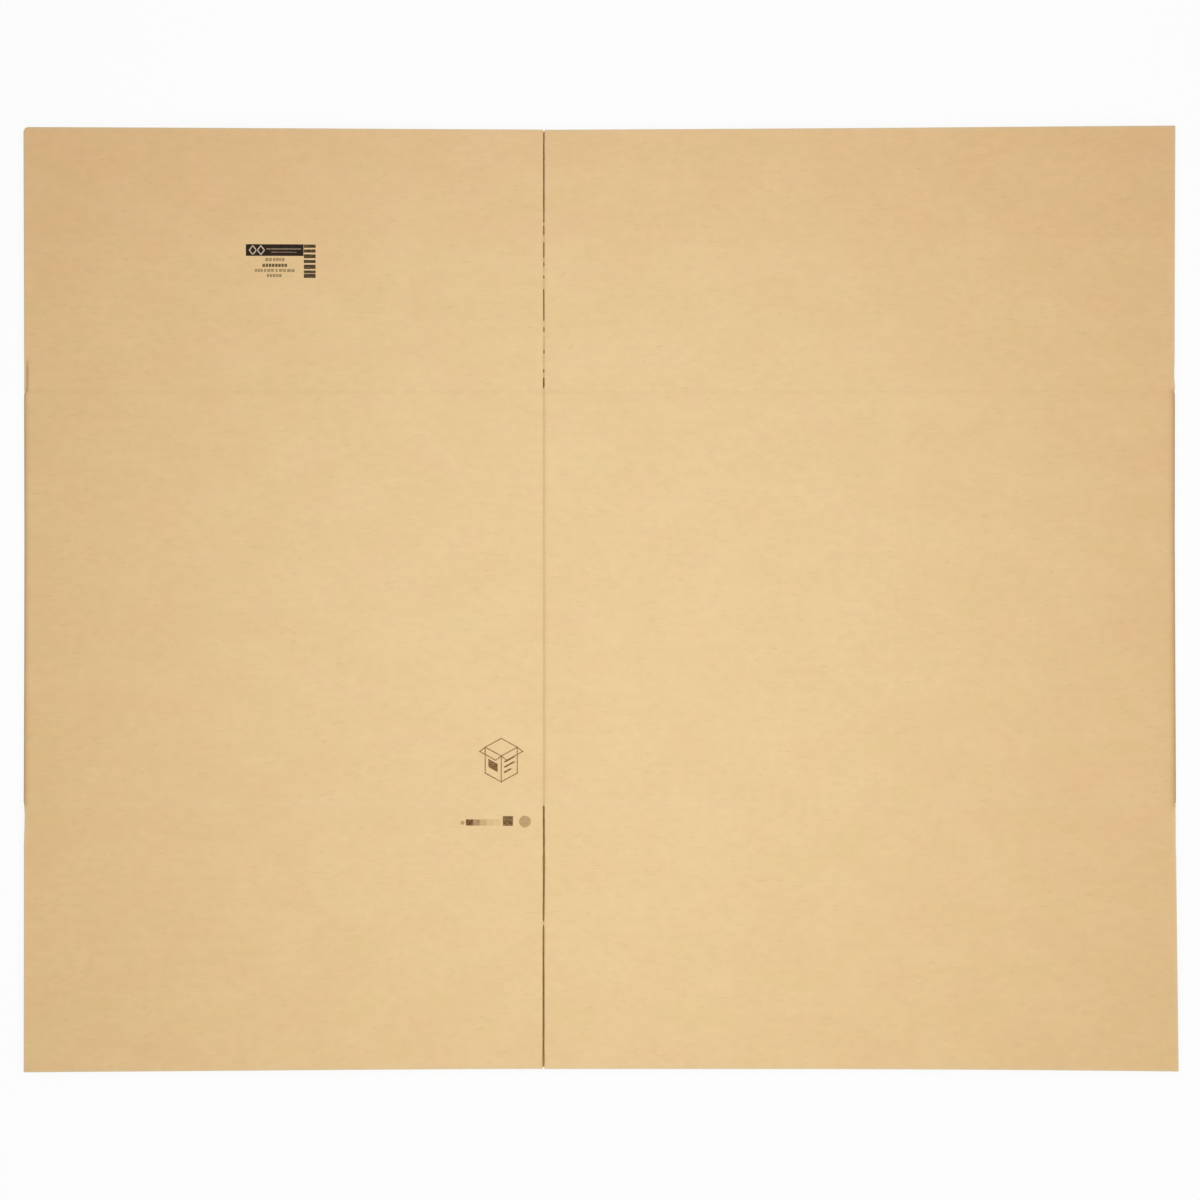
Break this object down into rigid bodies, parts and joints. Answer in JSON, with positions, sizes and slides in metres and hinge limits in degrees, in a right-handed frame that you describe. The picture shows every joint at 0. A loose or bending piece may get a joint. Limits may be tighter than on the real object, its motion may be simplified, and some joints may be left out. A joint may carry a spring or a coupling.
{
  "type": "flattened cardboard box",
  "caption": "Large slotted carton of double-wall corrugated board, folded flat into a sleeve with its flaps lying straight out, ready to be opened up, filled and sealed.",
  "frame": {"origin": "middle of the underside, the glued back of the flat carton, on the surface that it lies on", "axes": "+X across the carton, from the narrow front panel to the wide one; +Y up the carton's height, towards its top flaps; +Z out of its front, away from the surface that it lies on"},
  "size_m": [1.114, 0.911, 0.0171],
  "materials": {
    "board": "matte"
  },
  "bodies": {
    "root": {"flattened_carton": "board"}
  },
  "joints": []
}
